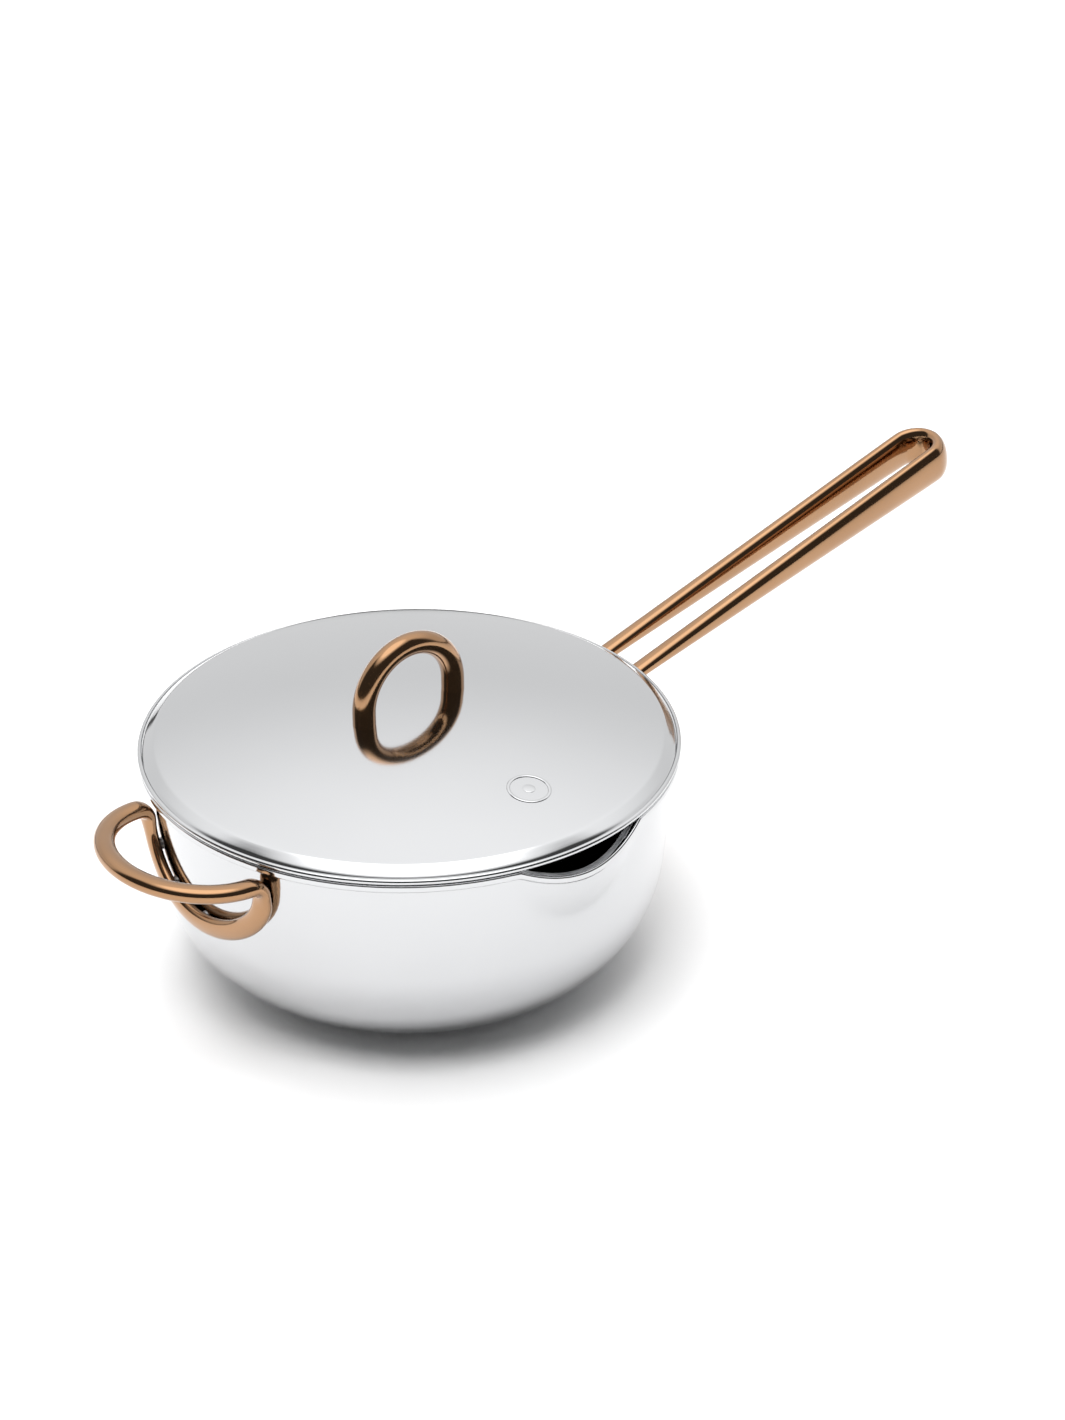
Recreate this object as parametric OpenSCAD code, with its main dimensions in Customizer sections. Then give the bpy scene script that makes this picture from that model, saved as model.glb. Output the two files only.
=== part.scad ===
// Clad saucepan with a pouring spout, a long loop handle, a folded helper
// handle and a pressed steel lid. Origin: centre of the base, on the surface
// it stands on. +Z is up, +X runs out along the long handle, and the spout
// points along -Y.

/* [Pot] */
// Outside radius of the wall just under the rim
pot_r = 111; // [80:1:160]
// Height of the rim above the surface it stands on
pot_h = 99.5; // [85:0.5:150]
// Lean of the wall out of the vertical, in degrees
wall_draft = 5; // [2:0.5:8]
// Outside radius of the curve between base and wall
base_fillet = 54; // [30:1:60]
// Thickness of the outer steel ply
outer_ply_t = 0.5; // [0.4:0.1:0.8]
// Thickness of the aluminium core ply
core_ply_t = 1.7; // [1:0.1:3]
// Thickness of the inner steel ply
inner_ply_t = 0.5; // [0.4:0.1:0.8]
// How far the rim lip stands out of the wall
lip_out = 1.8; // [1:0.1:3]
// Height of the rim lip
lip_h = 3.2; // [2.5:0.1:5]

/* [Spout] */
// Half the width of the spout at the rim
spout_half_w = 34; // [20:1:45]
// How far the spout reaches out past the rim
spout_out = 7; // [3:0.5:10]
// How far the spout's edge dips below the rim
spout_dip = 8.5; // [4.5:0.5:10]
// Height over which the spout runs out of the wall
spout_h = 27; // [20:1:40]

/* [Lid] */
// Thickness of the lid sheet
lid_t = 0.9; // [0.8:0.1:1.4]
// How far the lid's edge reaches out past the rim lip
lid_over = 0.2; // [0:0.1:2]
// Height of the rounded bead round the lid
lid_bead_h = 2.4; // [2.2:0.1:4]
// Width of the flat seat that the bead leaves on top
lid_bead_w = 1.6; // [1.2:0.1:3]
// Width of the sloping side above the bead
lid_slope_w = 5.1; // [4:0.1:10]
// Height of the sloping side above the bead
lid_slope_h = 3.3; // [2:0.1:6]
// Rise of the dome above its shoulder
dome_rise = 11.6; // [6:0.2:20]
// How deep the locating skirt hangs inside the rim
skirt_h = 5.5; // [4:0.5:12]
// Gap between the skirt and the pot wall
skirt_clear = 0.6; // [0.4:0.1:1.5]
// Gap between the lid's bead and the rim
seat_gap = 0.3; // [0.3:0.05:0.6]
// Outside radius of the plain pressed ring on the dome
ring_r = 8.8; // [5:0.1:12]
// Distance of the pressed ring from the centre of the lid
ring_at = 76.6; // [60:0.2:90]

/* [Lid handle] */
// Distance between the two feet
arch_span = 47; // [35:1:70]
// Diameter of the rod
arch_rod_d = 9.8; // [7:0.2:14]
// Height of the arch above the lid, to the top of the rod
arch_h = 33; // [31:1:60]
// Diameter of the screws
screw_d = 5; // [4:0.5:6]
// Depth that the screws reach into the feet
screw_reach = 10; // [6:1:14]
// Diameter of the screw heads
screw_head_d = 9; // [8:0.5:11]
// Height of the screw heads
screw_head_h = 2.6; // [2:0.2:4]
// Outside diameter of the washers
washer_d = 11; // [10:0.5:14]
// Thickness of the washers
washer_t = 1; // [0.8:0.1:2]

/* [Long handle] */
// Distance between the centres of the two legs
leg_gap = 21.4; // [16:0.2:36]
// Width of each leg, across the handle
leg_w = 8; // [6:0.2:12]
// Depth of each leg where it leaves the pot
leg_root_h = 6; // [5:0.2:14]
// Depth of each leg at the far end
leg_tip_h = 18; // [10:0.5:26]
// Length from the pot wall to the far end
long_len = 206; // [140:1:260]
// Upward tilt, in degrees
long_rise = 13; // [0:0.2:25]
// Height above the surface at which the legs leave the wall
long_z = 93.4; // [60:0.2:94]
// How far the fixing loop hangs down the wall
long_drop = 34; // [26:1:36]

/* [Helper handle] */
// Half the width of the arch that stands out from the pot
helper_half_w = 39; // [30:1:55]
// How far the arch reaches out past its corners
helper_out = 38; // [26:1:60]
// Width of the bar, in the plane of the arch
bar_w = 9; // [7:0.2:12]
// Thickness of the bar
bar_t = 7; // [5:0.2:10]
// Upward tilt of the arch, in degrees
helper_tilt = 4.5; // [0:0.5:20]
// Height above the surface at which the arch leaves the wall
helper_z = 92; // [60:0.5:92]
// How far the lower arch hangs down the wall
helper_drop = 34; // [24:0.5:36]
// Thickness of the bars where they lie along the wall
wall_bar_t = 5.4; // [4:0.1:8]
// Least gap between those bars and the wall, bridged only at the welds
weld_gap = 0.5; // [0.4:0.1:1.5]
// Diameter of each weld
weld_d = 5; // [4:0.2:6]

/* [Hidden] */
$fn = 180;
through = 1;
// Gap that stands for the bond between two plies
bond_gap = 0.02;

steel = [0.86, 0.87, 0.88];
aluminium = [0.75, 0.76, 0.78];
copper = [0.74, 0.53, 0.38];

// Pot outline, at a depth d into the wall
wall_t = outer_ply_t + core_ply_t + inner_ply_t;
lip_z = pot_h - lip_h;
flat_r = pot_r - base_fillet * cos(wall_draft)
         - (lip_z - base_fillet * (1 - sin(wall_draft))) * tan(wall_draft);
function tangent_r(d) = flat_r + (base_fillet - d) * cos(wall_draft);
function tangent_z(d) = base_fillet - (base_fillet - d) * sin(wall_draft);
function wall_r(z, d = 0) = tangent_r(d) + (z - tangent_z(d)) * tan(wall_draft);

// Spout: a steep cone beside the pot's axis, and a round dip in the rim
rim_r = wall_r(pot_h);
spout_sag = spout_out + rim_r - sqrt(rim_r * rim_r - spout_half_w * spout_half_w);
spout_r = (spout_half_w * spout_half_w + spout_sag * spout_sag) / (2 * spout_sag);
spout_y = rim_r + spout_out - spout_r;
spout_low_r = wall_r(pot_h - spout_h) - spout_y;
spout_lean = atan((spout_r - spout_low_r) / spout_h);
dip_r = (spout_half_w * spout_half_w + spout_dip * spout_dip) / (2 * spout_dip);

// Lid, from its seat on the rim up to the top of the dome
seat_z = pot_h + seat_gap;
lid_r = rim_r + lip_out + lid_over;
bead_in_r = lid_r - lid_bead_w;
shoulder_r = bead_in_r - lid_slope_w;
bead_z = seat_z + lid_bead_h;
shoulder_z = bead_z + lid_slope_h;
dome_r = (shoulder_r * shoulder_r + dome_rise * dome_rise) / (2 * dome_rise);
dome_z = shoulder_z + dome_rise - dome_r;
bead_round = lid_bead_h / 2;
skirt_z = seat_z - skirt_h;
skirt_r = wall_r(skirt_z, wall_t) - skirt_clear;
ring_w = 1.2;
ring_depth = 0.25;
function dome_top(r, d = 0) = dome_z + sqrt((dome_r - d) * (dome_r - d) - r * r);

// Lid handle
foot_r = arch_span / 2;
arch_mid_z = dome_top(0) + arch_h - arch_rod_d / 2 - foot_r;
washer_low_z = dome_top(foot_r + washer_d / 2, lid_t) - washer_t;
drive_w = 1.3;
drive_l = 5;
drive_depth = 1.6;

// Handles: each is one closed bar that folds down and runs along the wall
oval_sides = 28;
oval_power = 2.2;
bend_steps = 16;
fold_steps = 6;
fold_r = 6;
weld_bite = 0.8;
leg_y = leg_gap / 2;
bend_x = long_len - leg_y - leg_w / 2;
long_low_z = long_z - long_drop + leg_y + leg_w / 2;
long_weld_z = long_z - fold_r - weld_d / 2;
helper_cut = fold_r * tan((90 - helper_tilt - wall_draft) / 2);
function bar_mid_r(z) = wall_r(z) + weld_gap + wall_bar_t / 2;
function weld_end_r(z) = wall_r(z) + weld_gap + weld_bite;

// Point of the helper handle's lower arch, y across and z up
function helper_low(a) = [helper_half_w * cos(a),
                          helper_z - helper_cut - (helper_drop - helper_cut) * sin(a)];

// Solid outline of the pot, d in from its outer face, up to the height top_z
module pot_profile(d, top_z) {
    intersection() {
        square([2 * pot_r, top_z]);
        union() {
            polygon([[0, d], [flat_r, d], [flat_r, base_fillet], [tangent_r(d), tangent_z(d)],
                     [wall_r(top_z, d), top_z], [0, top_z]]);
            translate([flat_r, base_fillet]) circle(base_fillet - d);
        }
    }
}

module spout_cone(d, top_z) {
    side = d / cos(spout_lean);
    low_z = pot_h - 2 * spout_h;
    low_r = spout_low_r - spout_h * tan(spout_lean);
    top_r = low_r + (top_z - low_z) * tan(spout_lean);
    translate([0, -spout_y, low_z]) cylinder(top_z - low_z, low_r - side, top_r - side);
}

module pot_form(d, top_z) {
    rotate_extrude() pot_profile(d, top_z);
    spout_cone(d, top_z);
}

module rim_lip() {
    round_r = lip_out / 2;
    rotate_extrude() {
        translate([rim_r - outer_ply_t, lip_z]) square([outer_ply_t + round_r, lip_h]);
        translate([rim_r, lip_z + round_r]) square([lip_out, lip_h - lip_out]);
        for (z = [lip_z + round_r, pot_h - round_r])
            translate([rim_r + round_r, z]) circle(round_r);
    }
}

module spout_dip_cut() {
    translate([0, 0, pot_h - spout_dip + dip_r]) rotate([90, 0, 0])
        cylinder(2 * pot_r, dip_r, dip_r);
}

// One ply, from depth d0 to depth d1. The outermost one carries the rim lip.
module ply(d0, d1) {
    difference() {
        union() {
            pot_form(d0, pot_h);
            if (d0 == 0) rim_lip();
        }
        pot_form(d1, pot_h + through);
        spout_dip_cut();
    }
}

function unit(v) = v / norm(v);
function arc(n, a0, a1) = [for (i = [0 : n]) a0 + (a1 - a0) * i / n];
function signed_pow(c, e) = sign(c) * pow(abs(c), e);

// Point on the mid surface of the wall bars, y across and z up, on the +X side
function on_wall(y, z) = [sqrt(pow(bar_mid_r(z), 2) - y * y), y, z];
function wall_in(p) = [-p[0], -p[1], norm([p[0], p[1]]) * tan(wall_draft)];

// A handle is a closed list of places: [point, thickness direction, width, thickness]
function place(p, dir, w, h) = [p, dir, w, h];

// The fold from the arch or leg, which comes in level with slope rise at the
// height z, down onto the wall at y. t0 is its thickness before the fold.
function fold(y, z, rise, w, t0) =
    let (corner = on_wall(y, z), turn = 90 - rise - wall_draft, cut = fold_r * tan(turn / 2),
         out = [cos(rise), 0, sin(rise)], under = [sin(rise), 0, -cos(rise)],
         start = corner + cut * out)
    [for (a = arc(fold_steps, 0, turn))
        place(start - fold_r * sin(a) * out + fold_r * (1 - cos(a)) * under,
              -sin(a) * out - cos(a) * under, w, t0 + (wall_bar_t - t0) * a / turn)];

function reverse(list) = [for (i = [len(list) - 1 : -1 : 0]) list[i]];
function mirrored(list) = [for (f = reverse(list))
    place([f[0][0], -f[0][1], f[0][2]], [f[1][0], -f[1][1], f[1][2]], f[2], f[3])];

// Cross-section at place f of a bar that runs towards ahead
function section(f, ahead) =
    let (up = unit(f[1] - (f[1] * ahead) * ahead), side = cross(ahead, up))
    [for (i = [0 : oval_sides - 1]) let (a = 360 * i / oval_sides)
        f[0] + side * f[2] / 2 * signed_pow(cos(a), 2 / oval_power)
             + up * f[3] / 2 * signed_pow(sin(a), 2 / oval_power)];

// Closed bar through all the places of a path
module closed_bar(path) {
    n = oval_sides;
    m = len(path);
    polyhedron(
        [for (k = [0 : m - 1])
            each section(path[k], unit(path[(k + 1) % m][0] - path[(k + m - 1) % m][0]))],
        [for (k = [0 : m - 1], i = [0 : n - 1]) let (l = (k + 1) % m, j = (i + 1) % n,
                a = k * n + i, b = k * n + j, c = l * n + j, d = l * n + i)
            each [[a, b, c], [a, c, d]]]);
}

function long_place(x, y, h) =
    place(on_wall(leg_y, long_z) + [x * cos(long_rise), y - leg_y, x * sin(long_rise)],
          [-sin(long_rise), 0, cos(long_rise)], leg_w, h);
function leg_h(x) = leg_root_h + (leg_tip_h - leg_root_h) * min(1, x / bend_x);

// Half of the long handle, from the middle of its bend to the foot of its loop
long_half = concat(
    [for (a = arc(bend_steps / 2, 0, 90)) let (x = bend_x + leg_y * cos(a))
        long_place(x, leg_y * sin(a), leg_h(x))],
    [for (part = [0.75, 0.5, 0.25]) long_place(part * bend_x, leg_y, leg_h(part * bend_x))],
    fold(leg_y, long_z, long_rise, leg_w, leg_root_h),
    [for (a = arc(bend_steps / 2, 0, 90))
        let (p = on_wall(leg_y * cos(a), long_low_z - leg_y * sin(a)))
        place(p, wall_in(p), leg_w, wall_bar_t)]);

// Half of the helper handle, built on the +X side and turned round afterwards
helper_half = concat(
    [for (a = arc(bend_steps, 0, 90))
        let (x = helper_cut + (helper_out - helper_cut) * cos(a))
        place(on_wall(helper_half_w, helper_z) + [x * cos(helper_tilt),
                  helper_half_w * (sin(a) - 1), x * sin(helper_tilt)],
              [-sin(helper_tilt), 0, cos(helper_tilt)], bar_w, bar_t)],
    [for (i = [1 : fold_steps]) fold(helper_half_w, helper_z, helper_tilt, bar_w, bar_t)[i]],
    [for (a = arc(bend_steps, 10, 90)) let (p = on_wall(helper_low(a)[0], helper_low(a)[1]))
        place(p, wall_in(p), bar_w, wall_bar_t)]);

function closed(half) = let (m = len(half))
    concat(half, [for (i = [1 : m - 2]) mirrored(half)[i]]);

// Short round pads from the pot's outer face into the bar at each place listed
module welds(spots) {
    intersection() {
        difference() {
            rotate_extrude() polygon([[0, base_fillet], [weld_end_r(base_fillet), base_fillet],
                                      [weld_end_r(lip_z), lip_z], [0, lip_z]]);
            pot_form(0, pot_h);
        }
        for (p = spots) translate([0, p[0], p[1]]) rotate([0, 90, 0])
            cylinder(2 * pot_r, weld_d / 2, weld_d / 2);
    }
}

module pot_outer_ply() {
    color(steel) ply(0, outer_ply_t);
}

module pot_core_ply() {
    color(aluminium) ply(outer_ply_t + bond_gap, outer_ply_t + core_ply_t);
}

module pot_inner_ply() {
    color(steel) ply(outer_ply_t + core_ply_t + bond_gap, wall_t);
}

module long_handle() {
    color(copper) closed_bar(closed(long_half));
}

module long_handle_welds() {
    color(steel) welds([each [for (s = [-1, 1], z = [long_low_z, long_weld_z]) [s * leg_y, z]],
                        [0, long_low_z - leg_y]]);
}

module helper_handle() {
    color(copper) rotate([0, 0, 180]) closed_bar(closed(helper_half));
}

module helper_handle_welds() {
    color(steel) rotate([0, 0, 180]) welds([for (a = [25, 55, 90, 125, 155]) helper_low(a)]);
}

// The dome and the slope below it, moved in by d, down to the height low_z
module lid_cap_profile(d, low_z) {
    slope = atan(lid_slope_h / lid_slope_w);
    edge_z = bead_z - d / cos(slope);
    intersection() {
        translate([0, dome_z]) circle(dome_r - d, $fn = 720);
        polygon([[0, low_z], [bead_in_r, low_z], [bead_in_r, edge_z],
                 [0, edge_z + bead_in_r * tan(slope)]]);
    }
}

// Section of the whole lid sheet: dome, slope, solid bead, seat and skirt
module lid_profile() {
    difference() {
        union() {
            lid_cap_profile(0, seat_z);
            translate([bead_in_r, seat_z]) square([lid_bead_w - bead_round, lid_bead_h]);
            translate([lid_r - bead_round, seat_z + bead_round]) circle(bead_round);
        }
        lid_cap_profile(lid_t, seat_z + lid_t);
        square([skirt_r - lid_t, seat_z + lid_t]);
    }
    translate([skirt_r - lid_t, skirt_z]) square([lid_t, skirt_h]);
}

module lid_dome() {
    color(steel) difference() {
        rotate_extrude() lid_profile();
        for (s = [-1, 1]) translate([s * foot_r, 0, shoulder_z])
            cylinder(2 * dome_rise, screw_d / 2, screw_d / 2);
        pressed_ring();
    }
}

// Shallow plain ring pressed into the dome near the spout
module pressed_ring() {
    lean = asin(ring_at / dome_r);
    translate([0, 0, dome_z]) rotate([lean, 0, 0]) difference() {
        translate([0, 0, dome_r - ring_depth]) cylinder(1, ring_r, ring_r);
        translate([0, 0, dome_r - 1]) cylinder(3, ring_r - ring_w, ring_r - ring_w);
    }
}

module lid_handle() {
    color(copper) difference() {
        union() {
            translate([0, 0, arch_mid_z]) rotate([90, 0, 0]) rotate_extrude(angle = 180)
                translate([foot_r, 0]) circle(arch_rod_d / 2);
            for (s = [-1, 1]) translate([s * foot_r, 0, shoulder_z])
                cylinder(arch_mid_z - shoulder_z, arch_rod_d / 2, arch_rod_d / 2);
        }
        rotate_extrude() intersection() {
            translate([0, dome_z]) circle(dome_r, $fn = 720);
            square([shoulder_r, dome_top(0) + 1]);
        }
        for (s = [-1, 1]) translate([s * foot_r, 0, shoulder_z])
            cylinder(dome_top(foot_r) + screw_reach - shoulder_z, screw_d / 2, screw_d / 2);
    }
}

module lid_handle_screws() {
    top_z = dome_top(foot_r) + screw_reach;
    color(steel) for (s = [-1, 1]) translate([s * foot_r, 0, 0]) difference() {
        union() {
            translate([0, 0, washer_low_z]) cylinder(top_z - washer_low_z, screw_d / 2, screw_d / 2);
            translate([0, 0, washer_low_z - screw_head_h])
                cylinder(screw_head_h, screw_head_d / 2, screw_head_d / 2);
        }
        for (a = [0, 90]) rotate([0, 0, a])
            translate([-drive_l / 2, -drive_w / 2, washer_low_z - screw_head_h - through])
                cube([drive_l, drive_w, drive_depth + through]);
    }
}

module lid_handle_washers() {
    color(steel) for (s = [-1, 1]) translate([s * foot_r, 0, washer_low_z]) difference() {
        cylinder(washer_t, washer_d / 2, washer_d / 2);
        translate([0, 0, -through]) cylinder(washer_t + 2 * through, screw_d / 2, screw_d / 2);
    }
}

pot_outer_ply();
pot_core_ply();
pot_inner_ply();
long_handle();
long_handle_welds();
helper_handle();
helper_handle_welds();
lid_dome();
lid_handle();
lid_handle_screws();
lid_handle_washers();
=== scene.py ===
import math

import bpy
from mathutils import Matrix, Vector


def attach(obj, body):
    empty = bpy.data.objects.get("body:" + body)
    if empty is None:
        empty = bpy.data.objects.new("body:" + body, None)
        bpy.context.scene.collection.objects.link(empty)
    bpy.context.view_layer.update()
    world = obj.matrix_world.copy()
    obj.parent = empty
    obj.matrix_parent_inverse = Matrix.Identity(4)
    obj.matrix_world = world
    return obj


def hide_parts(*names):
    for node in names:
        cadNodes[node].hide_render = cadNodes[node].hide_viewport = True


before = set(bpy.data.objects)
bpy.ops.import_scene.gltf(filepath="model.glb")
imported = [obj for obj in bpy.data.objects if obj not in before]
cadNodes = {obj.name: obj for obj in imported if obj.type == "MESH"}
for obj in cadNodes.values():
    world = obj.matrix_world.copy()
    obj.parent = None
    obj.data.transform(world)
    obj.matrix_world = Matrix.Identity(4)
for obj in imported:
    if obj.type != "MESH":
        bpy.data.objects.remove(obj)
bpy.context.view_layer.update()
mm = 0.001

scene = bpy.context.scene
scene.view_settings.view_transform = "Standard"
print("frame loaded:", len(cadNodes), "nodes")


# camera

cameraSet = {
    "position": (-0.7814, -0.9938, 0.8327),
    "pitchDown": 29.63,
    "heading": -40.5,
    "roll": -0.18,
    "lens": 88.73,
    "sensorWidth": 36,
}


def addCamera(s):
    data = bpy.data.cameras.new("camera")
    data.lens = s["lens"]
    data.sensor_width = s["sensorWidth"]
    camera = bpy.data.objects.new("camera", data)
    scene.collection.objects.link(camera)
    turn = (
        Matrix.Rotation(math.radians(s["heading"]), 4, "Z")
        @ Matrix.Rotation(math.radians(90 - s["pitchDown"]), 4, "X")
        @ Matrix.Rotation(math.radians(s["roll"]), 4, "Z")
    )
    camera.matrix_world = Matrix.Translation(s["position"]) @ turn
    scene.camera = camera


addCamera(cameraSet)
print("camera placed")


# small modelling helpers

mergeGap = 0.01 * mm    # points nearer than this are one point
foldAngle = 40          # in degrees, sharper folds than this stay sharp


def deselectAll():
    if bpy.context.mode != "OBJECT":
        bpy.ops.object.mode_set(mode="OBJECT")
    bpy.ops.object.select_all(action="DESELECT")


def makeActive(piece):
    deselectAll()
    piece.select_set(True)
    bpy.context.view_layer.objects.active = piece


def arcPoints(centreR, centreZ, radius, startAngle, endAngle, steps):
    points = []
    for i in range(steps + 1):
        a = math.radians(startAngle + (endAngle - startAngle) * i / steps)
        points.append((centreR + radius * math.cos(a), centreZ + radius * math.sin(a)))
    return points


def linePoints(start, end, steps):
    # only the points between the two ends
    return [
        (start[0] + (end[0] - start[0]) * i / steps, start[1] + (end[1] - start[1]) * i / steps)
        for i in range(1, steps)
    ]


def closePole(z):
    # runs the selected ring in to one point on the axis, z higher
    bpy.ops.mesh.extrude_region()
    bpy.ops.mesh.merge(type="CENTER")
    bpy.ops.transform.translate(value=(0, 0, z))


def lathe(name, outline, segments, poleStart, poleEnd):
    # pulls a ring along an outline of (radius, height) in millimetres
    deselectAll()
    r, z = outline[0]
    bpy.ops.mesh.primitive_circle_add(
        vertices=segments, radius=r * mm, fill_type="NOTHING", location=(0, 0, 0)
    )
    piece = bpy.context.active_object
    piece.name = name
    bpy.ops.object.mode_set(mode="EDIT")
    bpy.ops.mesh.select_all(action="SELECT")
    bpy.ops.transform.translate(value=(0, 0, z * mm))
    for nextR, nextZ in outline[1:]:
        bpy.ops.mesh.extrude_region()
        scale = nextR / r
        bpy.ops.transform.resize(value=(scale, scale, 1), center_override=(0, 0, z * mm))
        bpy.ops.transform.translate(value=(0, 0, (nextZ - z) * mm))
        r, z = nextR, nextZ
    if poleEnd is not None:
        closePole((poleEnd - z) * mm)
    if poleStart is not None:
        bpy.ops.mesh.select_all(action="DESELECT")
        bpy.ops.mesh.select_non_manifold()
        closePole((poleStart - outline[0][1]) * mm)
    bpy.ops.mesh.select_all(action="SELECT")
    bpy.ops.mesh.normals_make_consistent(inside=False)
    bpy.ops.mesh.select_all(action="DESELECT")
    bpy.ops.object.mode_set(mode="OBJECT")
    return piece


def smoothFinish(piece, levels=0, angle=foldAngle):
    makeActive(piece)
    if levels:
        rounding = piece.modifiers.new("rounding", "SUBSURF")
        rounding.levels = levels
        rounding.render_levels = levels
        bpy.ops.object.modifier_apply(modifier=rounding.name)
    bpy.ops.object.shade_smooth_by_angle(angle=math.radians(angle))
    deselectAll()


def dress(piece, body, slot, material, *replaced):
    piece.data.materials.clear()
    piece.data.materials.append(material)
    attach(piece, body)
    if replaced:
        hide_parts(*replaced)


# materials

def newMaterial(name):
    material = bpy.data.materials.new(name)
    material.use_nodes = True
    nodes = material.node_tree.nodes
    return material, nodes, material.node_tree.links, nodes["Principled BSDF"]


def objectNoise(nodes, links, scale, stretch, detail):
    place = nodes.new("ShaderNodeTexCoord")
    mapping = nodes.new("ShaderNodeMapping")
    mapping.inputs["Scale"].default_value = stretch
    noise = nodes.new("ShaderNodeTexNoise")
    noise.inputs["Scale"].default_value = scale
    noise.inputs["Detail"].default_value = detail
    links.new(place.outputs["Object"], mapping.inputs["Vector"])
    links.new(mapping.outputs["Vector"], noise.inputs["Vector"])
    return noise.outputs["Fac"]


def spread(nodes, links, value, low, high):
    # most of a noise lies between 0.3 and 0.7
    ramp = nodes.new("ShaderNodeMapRange")
    ramp.inputs["From Min"].default_value = 0.3
    ramp.inputs["From Max"].default_value = 0.7
    ramp.inputs["To Min"].default_value = low
    ramp.inputs["To Max"].default_value = high
    links.new(value, ramp.inputs["Value"])
    return ramp.outputs["Result"]


def bumpFrom(nodes, links, value, strength, distance):
    bump = nodes.new("ShaderNodeBump")
    bump.inputs["Strength"].default_value = strength
    bump.inputs["Distance"].default_value = distance
    links.new(value, bump.inputs["Height"])
    return bump.outputs["Normal"]


lacquer = {
    "ior": 1.8,
    "roughness": 0.08,
}


def metal(name, s):
    material, nodes, links, surface = newMaterial(name)
    surface.inputs["Metallic"].default_value = 1
    wear = objectNoise(nodes, links, s["patchScale"], (1, 1, 1), 3)
    links.new(spread(nodes, links, wear, *s["roughness"]), surface.inputs["Roughness"])
    tint = nodes.new("ShaderNodeMix")
    tint.data_type = "RGBA"
    tint.inputs["A"].default_value = (*s["colour"], 1)
    tint.inputs["B"].default_value = (*s["otherColour"], 1)
    links.new(spread(nodes, links, wear, 0, 1), tint.inputs["Factor"])
    links.new(tint.outputs["Result"], surface.inputs["Base Color"])
    surface.inputs["Coat Weight"].default_value = s.get("coat", 0)
    surface.inputs["Coat IOR"].default_value = lacquer["ior"]
    surface.inputs["Coat Roughness"].default_value = lacquer["roughness"]
    grain = objectNoise(nodes, links, s["grainScale"], s["grainStretch"], 2)
    links.new(bumpFrom(nodes, links, grain, s["bump"], s["bumpDepth"]), surface.inputs["Normal"])
    return material


polishedSteel = metal("polishedSteel", {
    "colour": (0.595, 0.60, 0.61),
    "otherColour": (0.575, 0.58, 0.59),
    "patchScale": 9,
    "roughness": (0.07, 0.11),
    "grainScale": 900,
    "grainStretch": (1, 1, 1),
    "bump": 0.02,
    "bumpDepth": 0.0002,
})
satinSteel = metal("satinSteel", {
    "colour": (0.66, 0.67, 0.68),
    "otherColour": (0.58, 0.59, 0.60),
    "patchScale": 14,
    "roughness": (0.26, 0.36),
    "grainScale": 500,
    "grainStretch": (1, 1, 8),
    "bump": 0.12,
    "bumpDepth": 0.0003,
})
coreAluminium = metal("coreAluminium", {
    "colour": (0.74, 0.75, 0.77),
    "otherColour": (0.66, 0.67, 0.69),
    "patchScale": 30,
    "roughness": (0.32, 0.45),
    "grainScale": 1400,
    "grainStretch": (1, 1, 4),
    "bump": 0.15,
    "bumpDepth": 0.0003,
})
copperCoat = metal("copperCoat", {
    "colour": (0.37, 0.195, 0.085),
    "otherColour": (0.33, 0.17, 0.07),
    "coat": 0.5,
    "patchScale": 25,
    "roughness": (0.11, 0.15),
    "grainScale": 1200,
    "grainStretch": (1, 1, 1),
    "bump": 0.03,
    "bumpDepth": 0.0002,
})
weldSteel = metal("weldSteel", {
    "colour": (0.55, 0.55, 0.56),
    "otherColour": (0.40, 0.38, 0.36),
    "patchScale": 300,
    "roughness": (0.3, 0.5),
    "grainScale": 900,
    "grainStretch": (1, 1, 1),
    "bump": 0.3,
    "bumpDepth": 0.0004,
})
print("materials made")


# pot: three bonded plies, each a closed shell between two depths

pot = {
    "wallRadius": 111,
    "height": 99.5,
    "draft": 5,
    "baseFillet": 54,
    "plies": (0.5, 1.7, 0.5),
    "lipOut": 1.8,
    "lipHeight": 3.2,
    "lipFlare": 1.4,
    "rimEdge": 0.12,
    "baseRings": (0.1, 0.3, 0.6, 0.85, 0.97),
    "filletSteps": 18,
    "wallSteps": 16,
    "segments": 288,
    "lipFade": 1,
    "outReach": 38,
    "spoutOut": 3.1,
    "dipReach": 32,
    "spoutDip": 8.5,
}
plies = (    # from the outside in: piece, node, slot and material
    ("outerPly", "pot_outer_ply", "polished_steel", polishedSteel),
    ("corePly", "pot_core_ply", "core_aluminium", coreAluminium),
    ("innerPly", "pot_inner_ply", "inner_steel", satinSteel),
)


def flatRadius(s):
    lean = math.radians(s["draft"])
    run = s["height"] - s["lipHeight"] - s["baseFillet"] * (1 - math.sin(lean))
    return s["wallRadius"] - s["baseFillet"] * math.cos(lean) - run * math.tan(lean)


def wallRadius(s, z, depth):
    lean = math.radians(s["draft"])
    touchR = flatRadius(s) + (s["baseFillet"] - depth) * math.cos(lean)
    touchZ = s["baseFillet"] - (s["baseFillet"] - depth) * math.sin(lean)
    return touchR + (z - touchZ) * math.tan(lean)


def skinOutline(s, depth, topZ):
    # one face of a ply, from near the axis out along the base and up the wall
    flat = flatRadius(s)
    fillet = arcPoints(flat, s["baseFillet"], s["baseFillet"] - depth, -90, -s["draft"],
                       s["filletSteps"])
    wallTop = (wallRadius(s, topZ, depth), topZ)
    base = [(flat * part, depth) for part in s["baseRings"]]
    return base + fillet + linePoints(fillet[-1], wallTop, s["wallSteps"]) + [wallTop]


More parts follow.
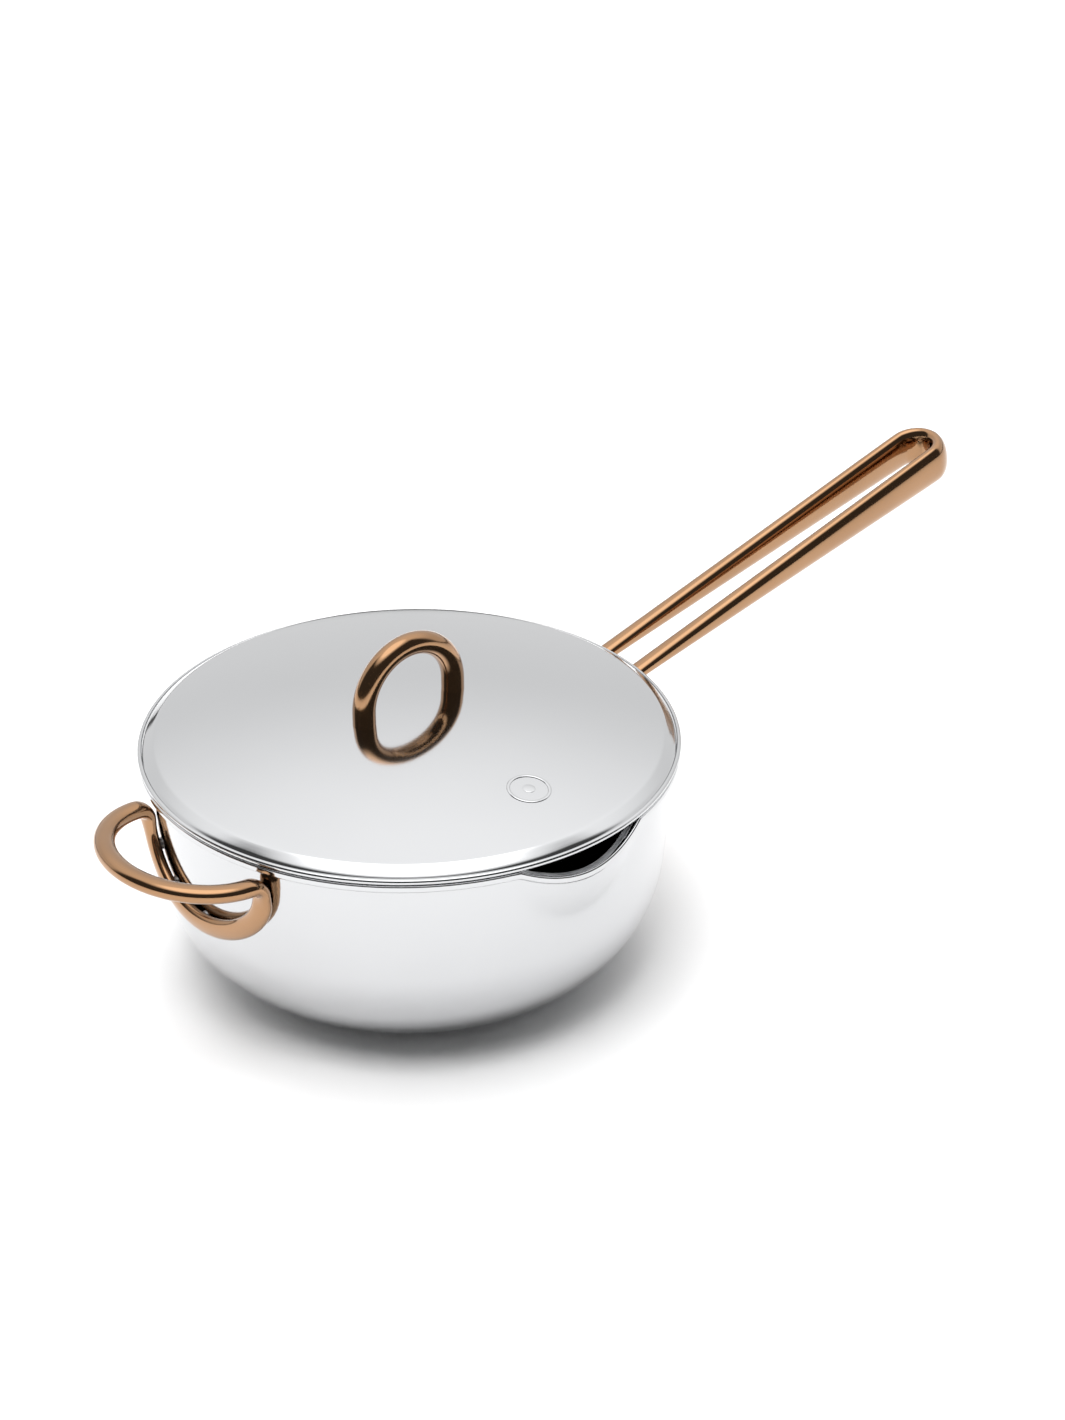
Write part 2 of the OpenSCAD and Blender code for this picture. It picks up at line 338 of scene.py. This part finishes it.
def plyShell(name, s, outerDepth, innerDepth, withLip):
    edge = s["rimEdge"]
    top = s["height"]
    inside = list(reversed(skinOutline(s, innerDepth, top - edge)))
    if withLip:
        rimR = wallRadius(s, top, 0)
        lipZ = top - s["lipHeight"]
        half = s["lipOut"] / 2
        flare = s["lipFlare"]
        flareZ = lipZ - flare
        outside = skinOutline(s, outerDepth, flareZ)    # then the flare and the rolled lip
        outside += arcPoints(wallRadius(s, flareZ, 0) + flare, flareZ, flare, 172, 105, 6)
        outside += arcPoints(rimR + half, lipZ + half, half, -55, 0, 4)
        outside += arcPoints(rimR + half, top - half, half, 0, 90, 6)
    else:
        outside = skinOutline(s, outerDepth, top - edge)
        outside += [(wallRadius(s, top, outerDepth) - edge, top)]
    rimInner = (wallRadius(s, top, innerDepth) + edge, top)
    return lathe(name, outside + [rimInner] + inside, s["segments"], outerDepth, innerDepth)


def pullFrom(place, moves):
    # carries the mesh round a loose point along with it, then takes the point away
    bpy.ops.mesh.select_all(action="DESELECT")
    bpy.ops.mesh.primitive_circle_add(vertices=3, radius=mergeGap, fill_type="NOTHING",
                                      location=[part * mm for part in place])
    bpy.ops.mesh.merge(type="CENTER")
    for move, reach, falloff in moves:
        bpy.ops.transform.translate(value=[part * mm for part in move], use_proportional_edit=True,
                                    proportional_edit_falloff=falloff, proportional_size=reach * mm)
    bpy.ops.mesh.delete(type="VERT")


def thinLip(piece, s):
    # the rim lip fades out towards the middle of the spout, and the wall stays hidden meanwhile
    makeActive(piece)
    rimR = wallRadius(s, s["height"], 0)
    for vertex in piece.data.vertices:
        vertex.select = math.hypot(vertex.co.x, vertex.co.y) > (rimR + s["lipOut"] / 3) * mm
    bpy.ops.object.mode_set(mode="EDIT")
    bpy.ops.mesh.hide(unselected=True)
    pullFrom((0, -rimR - s["lipOut"], s["height"] - s["lipHeight"] / 2),
             [((0, s["lipFade"], 0), s["dipReach"], "SMOOTH")])
    bpy.ops.mesh.reveal(select=False)
    bpy.ops.object.mode_set(mode="OBJECT")


def pullSpout(piece, s):
    makeActive(piece)
    bpy.ops.object.mode_set(mode="EDIT")
    pullFrom((0, -wallRadius(s, s["height"], 0), s["height"]),
             [((0, -s["spoutOut"], 0), s["outReach"], "SMOOTH"),
              ((0, 0, -s["spoutDip"]), s["dipReach"], "INVERSE_SQUARE")])
    bpy.ops.object.mode_set(mode="OBJECT")


def addPot(s):
    depth = 0
    for (name, node, slot, material), thickness in zip(plies, s["plies"]):
        ply = plyShell(name, s, depth, depth + thickness, depth == 0)
        if depth == 0:
            thinLip(ply, s)
        pullSpout(ply, s)
        smoothFinish(ply)
        dress(ply, "pot", slot, material, node)
        depth += thickness


addPot(pot)
print("pot made")


# lid

lid = {
    "sheet": 0.9,
    "over": 0.2,
    "seatGap": 0.3,
    "beadHeight": 2.4,
    "beadWidth": 1.6,
    "slopeWidth": 5.1,
    "slopeHeight": 3.3,
    "domeRise": 11.6,
    "skirtDepth": 5.5,
    "skirtGap": 0.6,
    "shoulderRound": 0.7,
    "crease": ((-0.45, 0.12), (-0.2, -0.28), (0.05, -0.4), (0.25, -0.3)),
    "topRings": (3, 9, 18, 28, 40, 52, 64, 76, 86, 94, 100, 104),
    "underRings": (103, 98, 90, 78, 64, 50, 36, 24, 14, 6),
    "segments": 288,
}


def lidNumbers(s):
    wall = sum(pot["plies"])
    seat = pot["height"] + s["seatGap"]
    edgeR = wallRadius(pot, pot["height"], 0) + pot["lipOut"] + s["over"]
    shoulderR = edgeR - s["beadWidth"] - s["slopeWidth"]
    shoulderZ = seat + s["beadHeight"] + s["slopeHeight"]
    domeR = (shoulderR ** 2 + s["domeRise"] ** 2) / (2 * s["domeRise"])
    skirtZ = seat - s["skirtDepth"]
    return {
        "seat": seat,
        "edgeR": edgeR,
        "shoulderR": shoulderR,
        "shoulderZ": shoulderZ,
        "domeR": domeR,
        "domeZ": shoulderZ + s["domeRise"] - domeR,
        "skirtZ": skirtZ,
        "skirtR": wallRadius(pot, skirtZ, wall) - s["skirtGap"],
    }


def domeHeight(n, r, depth):
    return n["domeZ"] + math.sqrt((n["domeR"] - depth) ** 2 - r * r)


def addLid(s):
    # from the crown out over the bead, down the skirt and back along the underside
    n = lidNumbers(s)
    t = s["sheet"]
    soft = s["shoulderRound"]
    seatZ, skirtZ, skirtR = n["seat"], n["skirtZ"], n["skirtR"]
    shoulderR, shoulderZ = n["shoulderR"], n["shoulderZ"]
    beadIn = n["edgeR"] - s["beadWidth"]
    beadTop = seatZ + s["beadHeight"]
    half = s["beadHeight"] / 2
    slopeTop = (shoulderR + soft, shoulderZ - soft * (s["slopeHeight"] / s["slopeWidth"]))
    top = [(r, domeHeight(n, r, 0)) for r in s["topRings"]]
    shoulder = [(shoulderR - soft, domeHeight(n, shoulderR - soft, 0) - 0.02),
                (shoulderR, shoulderZ - 0.06),
                (slopeTop[0], slopeTop[1] - 0.02)]
    slope = linePoints(slopeTop, (beadIn - 0.6, beadTop + 0.3), 4)
    crease = [(beadIn + out, beadTop + up) for out, up in s["crease"]]
    bead = arcPoints(n["edgeR"] - half, seatZ + half, half, 110, -90, 12)
    seat = linePoints((n["edgeR"] - half, seatZ), (skirtR + 0.5, seatZ), 3)
    skirt = [(skirtR + 0.4, seatZ), (skirtR, seatZ - 0.4), (skirtR, seatZ - 2.8),
             (skirtR, skirtZ + 0.3), (skirtR - 0.2, skirtZ), (skirtR - t + 0.2, skirtZ),
             (skirtR - t, skirtZ + 0.3), (skirtR - t, seatZ + t - 0.3),
             (skirtR - t + 0.3, seatZ + t)]
    under = [(beadIn - 0.4, seatZ + t), (beadIn, seatZ + t + 0.15), (beadIn, beadTop - 1.3),
             (shoulderR, shoulderZ - t * 1.19)]
    inner = [(r, domeHeight(n, r, t)) for r in s["underRings"]]
    outline = top + shoulder + slope + crease + bead + seat + skirt + under + inner
    piece = lathe("lidSheet", outline, s["segments"], domeHeight(n, 0, 0), domeHeight(n, 0, t))
    smoothFinish(piece)
    dress(piece, "lid", "polished_steel", polishedSteel, "lid_dome")


addLid(lid)
print("lid made")


# plain ring round a low dot, pressed up out of the dome near the spout

lidRing = {
    "radius": 8.4,
    "barWidth": 0.7,
    "barHeight": 0.3,
    "dotRadius": 2.6,
    "fromCentre": 76.6,
}


def addLidRing(s):
    n = lidNumbers(lid)
    deselectAll()
    lean = math.asin(s["fromCentre"] / n["domeR"])
    crown = (0, 0, n["domeR"] * mm)
    bpy.ops.mesh.primitive_torus_add(
        major_radius=s["radius"] * mm, minor_radius=s["barWidth"] * mm,
        major_segments=96, minor_segments=16, location=crown
    )
    ring = bpy.context.active_object
    ring.name = "lidRing"
    bpy.ops.object.transform_apply(location=True, rotation=True, scale=True)
    bpy.ops.object.mode_set(mode="EDIT")
    bpy.ops.mesh.select_all(action="SELECT")
    bpy.ops.transform.resize(value=(1, 1, s["barHeight"] / s["barWidth"]), center_override=crown)
    bpy.ops.mesh.select_all(action="DESELECT")
    bpy.ops.mesh.primitive_uv_sphere_add(
        segments=48, ring_count=24, radius=s["dotRadius"] * mm, location=crown
    )
    bpy.ops.transform.resize(value=(1, 1, s["barHeight"] / s["dotRadius"]), center_override=crown)
    bpy.ops.object.mode_set(mode="OBJECT")
    ring.rotation_euler = (lean, 0, 0)    # swings down the dome about the dome's own centre
    ring.location = (0, 0, n["domeZ"] * mm)
    bpy.ops.object.transform_apply(location=True, rotation=True, scale=True)
    smoothFinish(ring, angle=180)
    dress(ring, "lid", "polished_steel", polishedSteel)


addLidRing(lidRing)
print("pressed ring made")


# lid handle: a round rod bent into an arch

lidArch = {
    "span": 47,
    "rod": 9.8,
    "height": 33,
    "footSink": 0.1,
    "sides": 40,
    "spinSteps": 40,
}


def addLidArch(s):
    n = lidNumbers(lid)
    deselectAll()
    footR = s["span"] / 2
    middleZ = domeHeight(n, 0, 0) + s["height"] - s["rod"] / 2 - footR
    footZ = domeHeight(n, footR + s["rod"] / 2, 0) - s["footSink"]
    bpy.ops.mesh.primitive_circle_add(
        vertices=s["sides"], radius=s["rod"] / 2 * mm, fill_type="NOTHING",
        location=(footR * mm, 0, footZ * mm)
    )
    arch = bpy.context.active_object
    arch.name = "lidArch"
    bpy.ops.object.transform_apply(location=True, rotation=True, scale=True)
    bpy.ops.object.mode_set(mode="EDIT")
    bpy.ops.mesh.select_all(action="SELECT")
    bpy.ops.mesh.extrude_region()
    bpy.ops.transform.translate(value=(0, 0, (middleZ - footZ) * mm))
    bpy.ops.mesh.spin(
        steps=s["spinSteps"], angle=math.pi, center=(0, 0, middleZ * mm), axis=(0, 1, 0)
    )
    bpy.ops.mesh.extrude_region()
    bpy.ops.transform.translate(value=(0, 0, (footZ - middleZ) * mm))
    bpy.ops.mesh.select_all(action="SELECT")
    bpy.ops.mesh.remove_doubles(threshold=mergeGap)
    bpy.ops.mesh.fill_holes(sides=0)
    bpy.ops.mesh.normals_make_consistent(inside=False)
    bpy.ops.object.mode_set(mode="OBJECT")
    smoothFinish(arch)
    dress(arch, "lid", "copper_coat", copperCoat, "lid_handle")


addLidArch(lidArch)
print("lid handle made")


# bent bar handles: smooth copies of the bars that the frame holds

barHandle = {
    "rounding": 2,
    "quadFold": 40,     # in degrees, how far two triangles may fold and still be one face
    "quadSkew": 60,
}


def addBarHandle(s, node, name):
    bar = cadNodes[node].copy()
    bar.data = cadNodes[node].data.copy()
    bar.name = name
    bar.parent = None
    bar.matrix_world = Matrix.Identity(4)
    scene.collection.objects.link(bar)
    makeActive(bar)
    bpy.ops.object.mode_set(mode="EDIT")
    bpy.ops.mesh.select_all(action="SELECT")
    bpy.ops.mesh.remove_doubles(threshold=mergeGap)
    bpy.ops.mesh.tris_convert_to_quads(
        face_threshold=math.radians(s["quadFold"]), shape_threshold=math.radians(s["quadSkew"])
    )
    bpy.ops.object.mode_set(mode="OBJECT")
    smoothFinish(bar, s["rounding"], 180)
    dress(bar, "pot", "copper_coat", copperCoat, node)


addBarHandle(barHandle, "long_handle", "longHandle")
addBarHandle(barHandle, "helper_handle", "helperHandle")
print("bar handles made")


# small CAD pieces keep their shape and take their finish

def finishNode(node, material):
    mesh = cadNodes[node].data
    mesh.materials.clear()
    mesh.materials.append(material)


for weldNode in ("long_handle_welds", "helper_handle_welds"):
    finishNode(weldNode, weldSteel)
for fixingNode in ("lid_handle_screws", "lid_handle_washers"):
    finishNode(fixingNode, satinSteel)
print("small pieces finished")


# floor, light and surroundings

studio = {
    "floorSize": 40,
    "floorColour": (0.93, 0.93, 0.93),
    "floorRoughness": 0.9,
    "floorGloss": 0.1,
    "floorDrop": 0.3,
    "aim": (0, 0, 0.05),
    "topPower": 27,
    "topSize": 3.0,
    "topPlace": (-0.4, 0.6, 2.2),
    "frontPower": 20,
    "frontSize": 1.0,
    "frontPlace": (-0.75, -0.45, 2.1),
    "skyLow": 0.95,
    "skyRise": 0.45,
    "riseBand": (0.35, 0.85),
    "skyTop": 1.1,
    "topBand": (0.89, 0.95),
    "dark": 0.07,
    "darkSide": (-0.25, -0.02),
    "darkTop": 0.84,
    "darkTopBlur": 0.07,
    "darkFloor": 0.05,
    "darkFloorBlur": 0.02,
}


def addFloor(s):
    deselectAll()
    bpy.ops.mesh.primitive_plane_add(size=s["floorSize"], location=(0, 0, -s["floorDrop"] * mm))
    floor = bpy.context.active_object
    floor.name = "floor"
    material, nodes, links, surface = newMaterial("paleFloor")
    surface.inputs["Base Color"].default_value = (*s["floorColour"], 1)
    surface.inputs["Roughness"].default_value = s["floorRoughness"]
    surface.inputs["Specular IOR Level"].default_value = s["floorGloss"]
    floor.data.materials.append(material)


def addSoftbox(name, place, aim, size, power):
    # lights the scene, but doesn't show as a square in the metal
    data = bpy.data.lights.new(name, "AREA")
    data.energy = power
    data.shape = "SQUARE"
    data.size = size
    light = bpy.data.objects.new(name, data)
    scene.collection.objects.link(light)
    light.location = place
    light.rotation_euler = (Vector(aim) - Vector(place)).to_track_quat("-Z", "Y").to_euler()
    light.visible_glossy = False


def addSurroundings(s):
    # pale above and behind, dark on the viewer's side and along the horizon
    world = bpy.data.worlds.new("studio")
    scene.world = world
    world.use_nodes = True
    nodes, links = world.node_tree.nodes, world.node_tree.links
    place = nodes.new("ShaderNodeTexCoord")
    split = nodes.new("ShaderNodeSeparateXYZ")
    links.new(place.outputs["Generated"], split.inputs["Vector"])
    height = split.outputs["Z"]
    toViewer = nodes.new("ShaderNodeVectorMath")
    toViewer.operation = "DOT_PRODUCT"
    heading = math.radians(cameraSet["heading"])
    toViewer.inputs[1].default_value = (math.sin(heading), -math.cos(heading), 0)
    links.new(place.outputs["Generated"], toViewer.inputs[0])

    def ramp(value, low, high, top):
        step = nodes.new("ShaderNodeMapRange")
        step.interpolation_type = "SMOOTHSTEP"
        step.inputs["From Min"].default_value = low
        step.inputs["From Max"].default_value = high
        step.inputs["To Max"].default_value = top
        links.new(value, step.inputs["Value"])
        return step.outputs["Result"]

    def combine(operation, a, b):
        step = nodes.new("ShaderNodeMath")
        step.operation = operation
        links.new(a, step.inputs[0])
        if isinstance(b, float):
            step.inputs[1].default_value = b
        else:
            links.new(b, step.inputs[1])
        return step.outputs[0]

    top, topBlur = s["darkTop"], s["darkTopBlur"]
    low, lowBlur = s["darkFloor"], s["darkFloorBlur"]
    front = combine("MULTIPLY", ramp(toViewer.outputs["Value"], *s["darkSide"], 1),
                    ramp(height, top + topBlur, top - topBlur, 1))
    dark = combine("MAXIMUM", front, ramp(height, low + lowBlur, low - lowBlur, 1))
    sky = combine("ADD", ramp(height, *s["riseBand"], s["skyRise"]),
                  ramp(height, *s["topBand"], s["skyTop"]))
    sky = combine("ADD", sky, s["skyLow"])
    tone = nodes.new("ShaderNodeMix")
    links.new(dark, tone.inputs["Factor"])
    links.new(sky, tone.inputs["A"])
    tone.inputs["B"].default_value = s["dark"]
    links.new(tone.outputs["Result"], nodes["Background"].inputs["Color"])


addFloor(studio)
for side in ("top", "front"):
    addSoftbox(side + "Light", studio[side + "Place"], studio["aim"],
               studio[side + "Size"], studio[side + "Power"])
addSurroundings(studio)
print("studio made")
